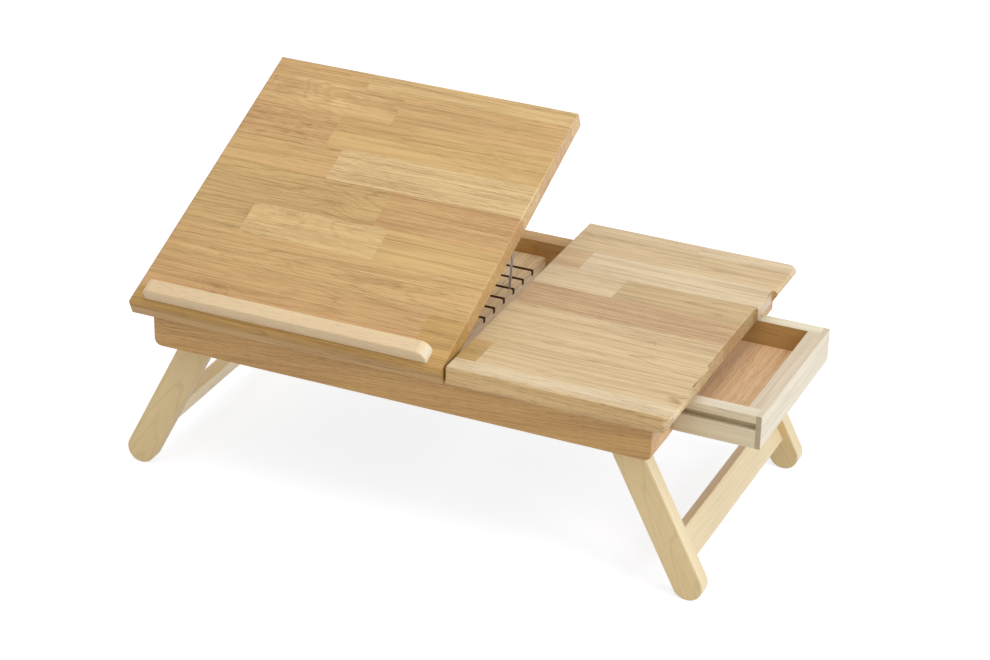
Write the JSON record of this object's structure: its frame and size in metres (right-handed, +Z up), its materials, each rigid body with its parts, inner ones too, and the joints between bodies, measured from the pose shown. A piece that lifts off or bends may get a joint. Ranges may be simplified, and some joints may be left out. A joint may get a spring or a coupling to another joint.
{
  "type": "laptop stand bed tray",
  "caption": "Wooden bed tray with a tilting laptop board held by a wire prop in a notched rack, a fixed side board, a small drawer and folding splayed legs.",
  "frame": {"origin": "middle of the part's box at rest, on the floor plane under the feet", "axes": "+X towards the drawer end, +Y from the user's edge to the far edge, +Z up"},
  "size_m": [0.6977, 0.3802, 0.3638],
  "materials": {
    "board_oak": "satin lacquer over glued oak staves, grain along X",
    "rail_oak": "satin lacquer over oak, grain along each rail",
    "ledge_beech": "satin lacquer over pale beech",
    "leg_beech": "satin lacquer over pale beech",
    "rack_beech": "matte, grain along the rack, slots dark from the saw",
    "drawer_pine": "satin lacquer over pale softwood",
    "drawer_ply": "matte reddish plywood",
    "dowel_beech": "matte fluted beech dowel",
    "hinge_steel": "zinc plated steel",
    "screw_steel": "zinc plated steel",
    "insert_brass": "turned brass",
    "wire_steel": "drawn steel wire"
  },
  "bodies": {
    "frame": {"front_rail": "rail_oak", "back_rail": "rail_oak", "left_end_rail": "rail_oak", "front_stop_block": "rail_oak", "back_stop_block": "rail_oak", "end_rail_dowels": "dowel_beech", "rack_dowels": "dowel_beech", "board_dowels": "dowel_beech", "front_drawer_guide": "rail_oak", "back_drawer_guide": "rail_oak", "front_runner": "rail_oak", "back_runner": "rail_oak", "divider": "rail_oak", "guide_screws": "screw_steel", "divider_screws": "screw_steel", "prop_rack": "rack_beech", "fixed_board": "board_oak", "left_hinge_rail_leaf": "hinge_steel", "right_hinge_rail_leaf": "hinge_steel", "hinge_pins": "hinge_steel", "rail_leaf_screws": "screw_steel", "pivot_inserts": "insert_brass", "pivot_screws": "screw_steel", "pivot_washers": "screw_steel"},
    "tilting_board": {"tilting_board": "board_oak", "stop_ledge": "ledge_beech", "ledge_screws": "screw_steel", "left_hinge_board_leaf": "hinge_steel", "right_hinge_board_leaf": "hinge_steel", "board_leaf_screws": "screw_steel", "prop_clip": "hinge_steel", "prop_clip_screws": "screw_steel"},
    "prop": {"prop_wire": "wire_steel"},
    "drawer": {"drawer_front_panel": "drawer_pine", "drawer_front_side": "drawer_pine", "drawer_back_side": "drawer_pine", "drawer_rear_panel": "drawer_pine", "drawer_bottom": "drawer_ply", "drawer_brads": "screw_steel"},
    "left_legs": {"left_front_leg": "leg_beech", "left_back_leg": "leg_beech", "left_crossbar": "leg_beech", "left_crossbar_dowels": "dowel_beech"},
    "right_legs": {"right_front_leg": "leg_beech", "right_back_leg": "leg_beech", "right_crossbar": "leg_beech", "right_crossbar_dowels": "dowel_beech"}
  },
  "joints": [
    {"name": "board_tilt", "type": "hinge", "parent": "frame", "child": "tilting_board", "pos_m": [-0.13863, -0.17853, 0.20033], "axis": [1, 0, 0], "range_deg": [0, 65]},
    {"name": "prop_swing", "type": "hinge", "parent": "tilting_board", "child": "prop", "pos_m": [-0.01888, 0.12053, 0.32757], "axis": [1, 0, 0], "range_deg": [-48, 60]},
    {"name": "drawer_slide", "type": "slide", "parent": "frame", "child": "drawer", "axis": [1, 0, 0], "range_m": [-0.088, 0.06]},
    {"name": "left_leg_fold", "type": "hinge", "parent": "frame", "child": "left_legs", "pos_m": [-0.24754, 0.00156, 0.18173], "axis": [0, -1, 0], "range_deg": [0, 117]},
    {"name": "right_leg_fold", "type": "hinge", "parent": "frame", "child": "right_legs", "pos_m": [0.21228, 0.00156, 0.18173], "axis": [0, 1, 0], "range_deg": [0, 105]}
  ],
  "couplings": [
    {"joint": "prop_swing", "follows": "board_tilt", "ratio": -0.13}
  ]
}
